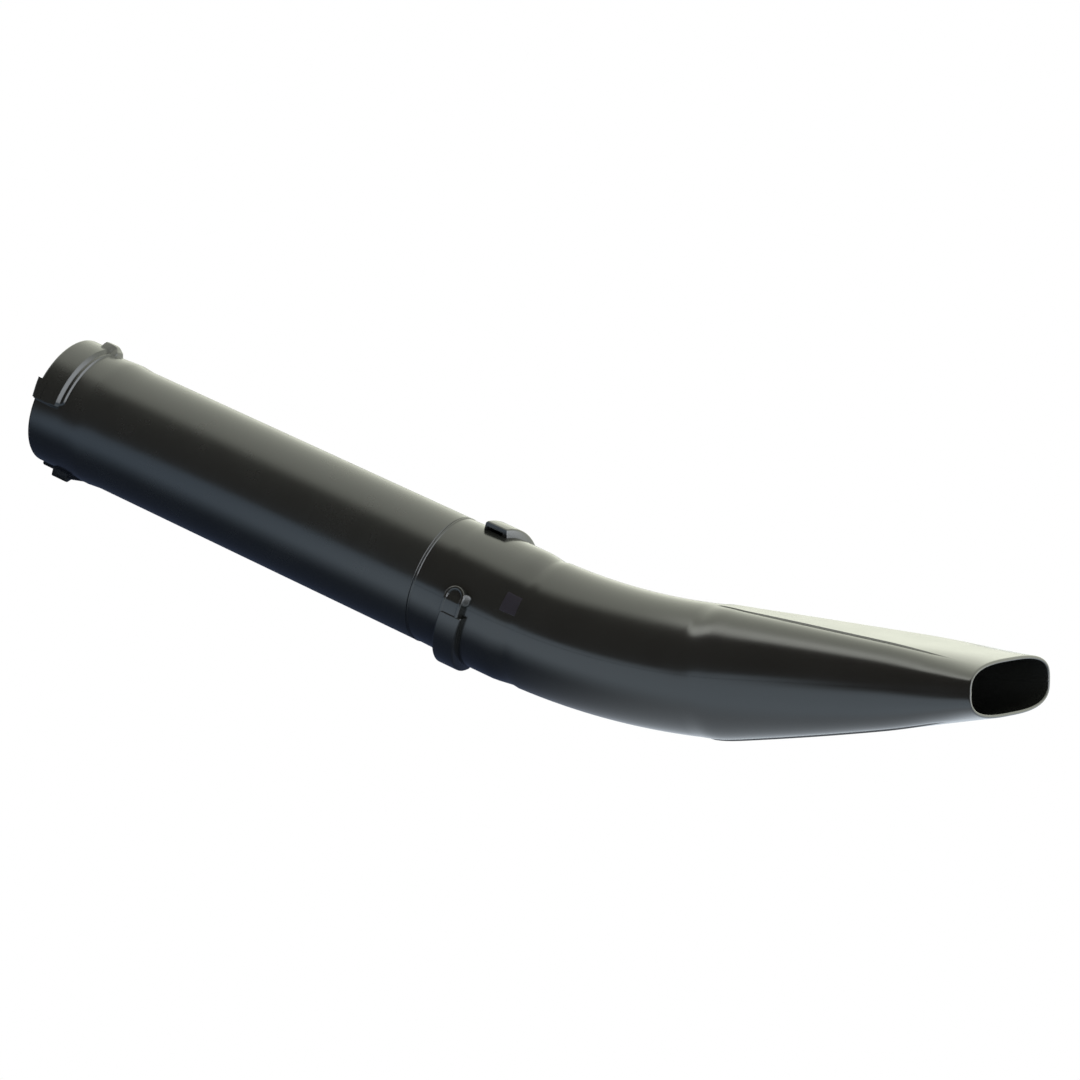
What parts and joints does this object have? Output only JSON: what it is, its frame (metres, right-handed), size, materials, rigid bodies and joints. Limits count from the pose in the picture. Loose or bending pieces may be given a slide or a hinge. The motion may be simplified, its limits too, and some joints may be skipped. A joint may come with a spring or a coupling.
{
  "type": "leaf blower tube set",
  "caption": "Straight blower tube with a bayonet inlet socket, twist-locked to a curved nozzle that flattens into a wide oval outlet.",
  "frame": {"origin": "centre of the straight tube's inlet end, where the blower's outlet holds it", "axes": "+X along the straight tube, from the inlet towards the nozzle; +Z to the side that the nozzle bends to; Y across the flat outlet"},
  "size_m": [0.7051, 0.1244, 0.1573],
  "materials": {
    "tube_plastic": "satin black moulded plastic",
    "nozzle_plastic": "semi-gloss black moulded plastic"
  },
  "bodies": {
    "tube": {"straight_tube": "tube_plastic"},
    "nozzle": {"nozzle_upper_shell": "nozzle_plastic", "nozzle_lower_shell": "nozzle_plastic"}
  },
  "joints": [
    {"name": "nozzle_twist", "type": "hinge", "parent": "tube", "child": "nozzle", "pos_m": [0.3395, 0, 0], "axis": [-1, 0, 0], "range_deg": [0, 84]}
  ]
}
